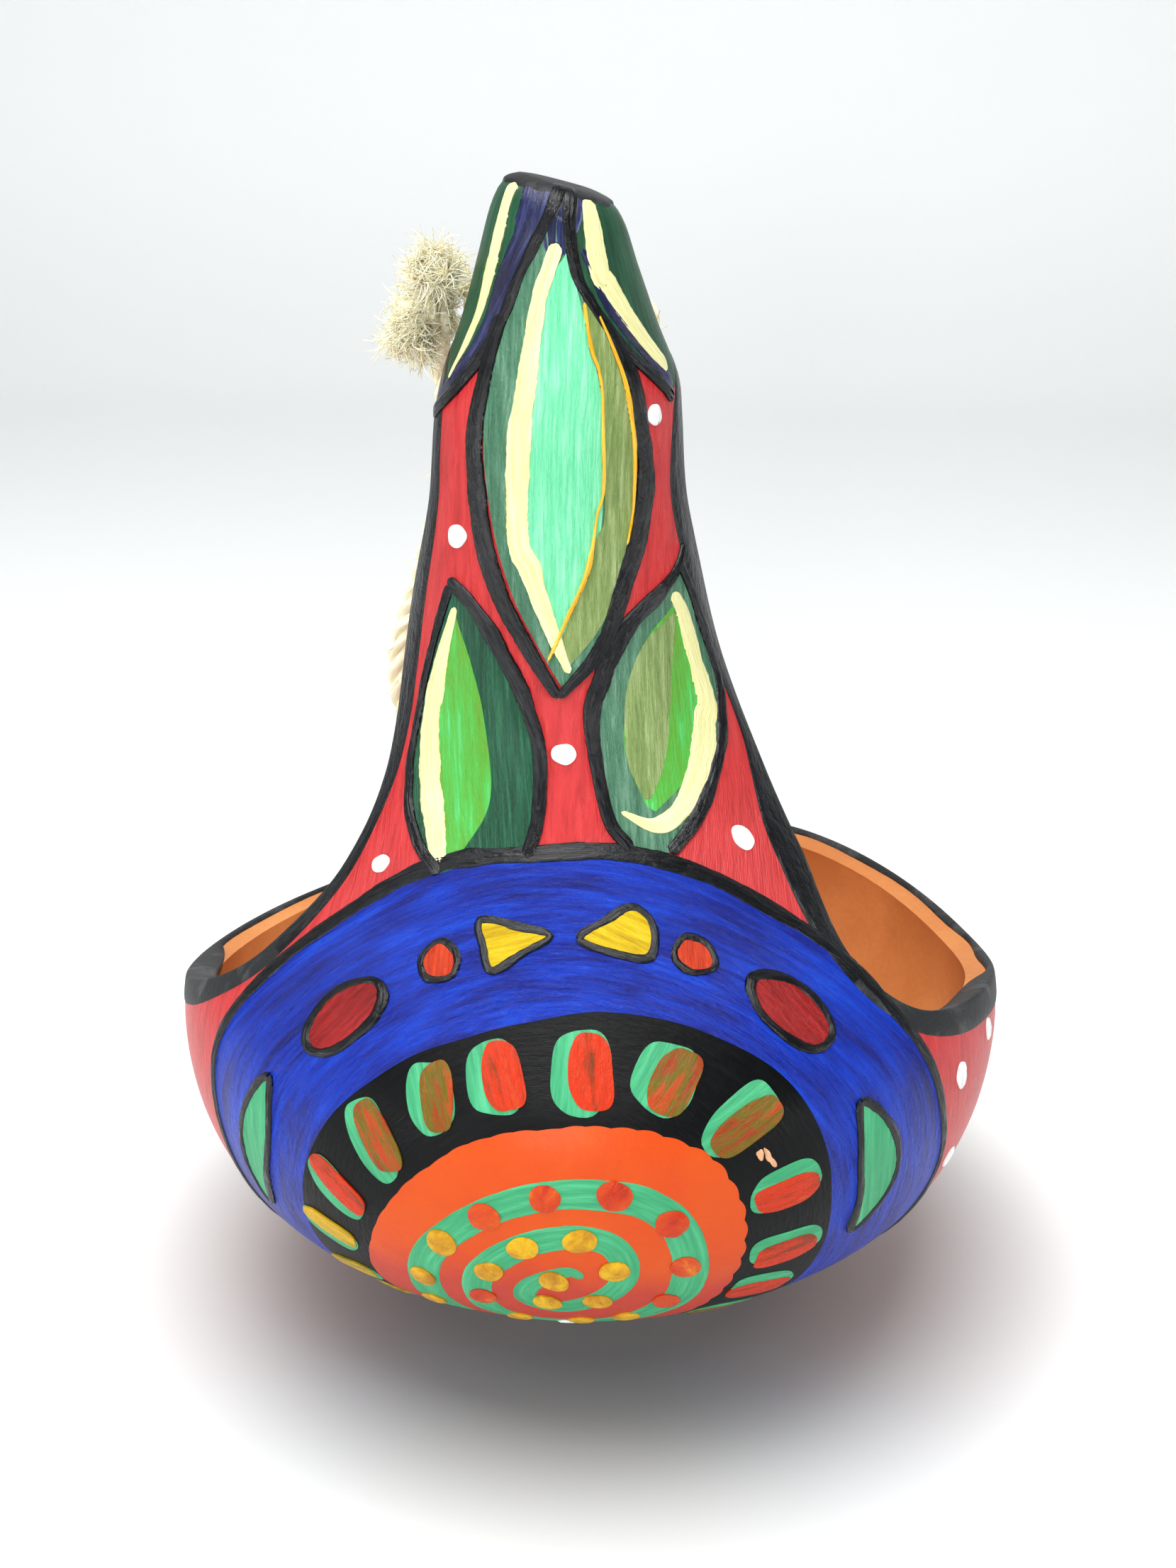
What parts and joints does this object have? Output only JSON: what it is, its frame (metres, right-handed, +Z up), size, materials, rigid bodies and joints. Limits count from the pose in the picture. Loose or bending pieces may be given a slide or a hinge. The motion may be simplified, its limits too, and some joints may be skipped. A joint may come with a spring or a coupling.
{
  "type": "gourd bowl",
  "caption": "Painted bottle-gourd bowl with a cut-open neck left standing as a handle and a knotted sisal rope loop through its tip.",
  "frame": {"origin": "middle of the flat foot under the bowl, on the floor", "axes": "+Z up along the bowl's axis, -Y towards the painted front, +X to the right as seen from the front"},
  "size_m": [0.16, 0.16, 0.2025],
  "materials": {
    "painted_gourd": "hand-painted gloss acrylic",
    "sisal_rope": "raw sisal"
  },
  "bodies": {
    "gourd": {"gourd_shell": "painted_gourd", "rope_knot": "sisal_rope", "rope_tail_upper": "sisal_rope", "rope_tail_lower": "sisal_rope"},
    "hanging_loop": {"rope_loop": "sisal_rope"}
  },
  "joints": [
    {"name": "loop_swing", "type": "hinge", "parent": "gourd", "child": "hanging_loop", "pos_m": [-0.0062, 0.0127, 0.18], "axis": [1, 0, 0], "range_deg": [0, 150]}
  ]
}
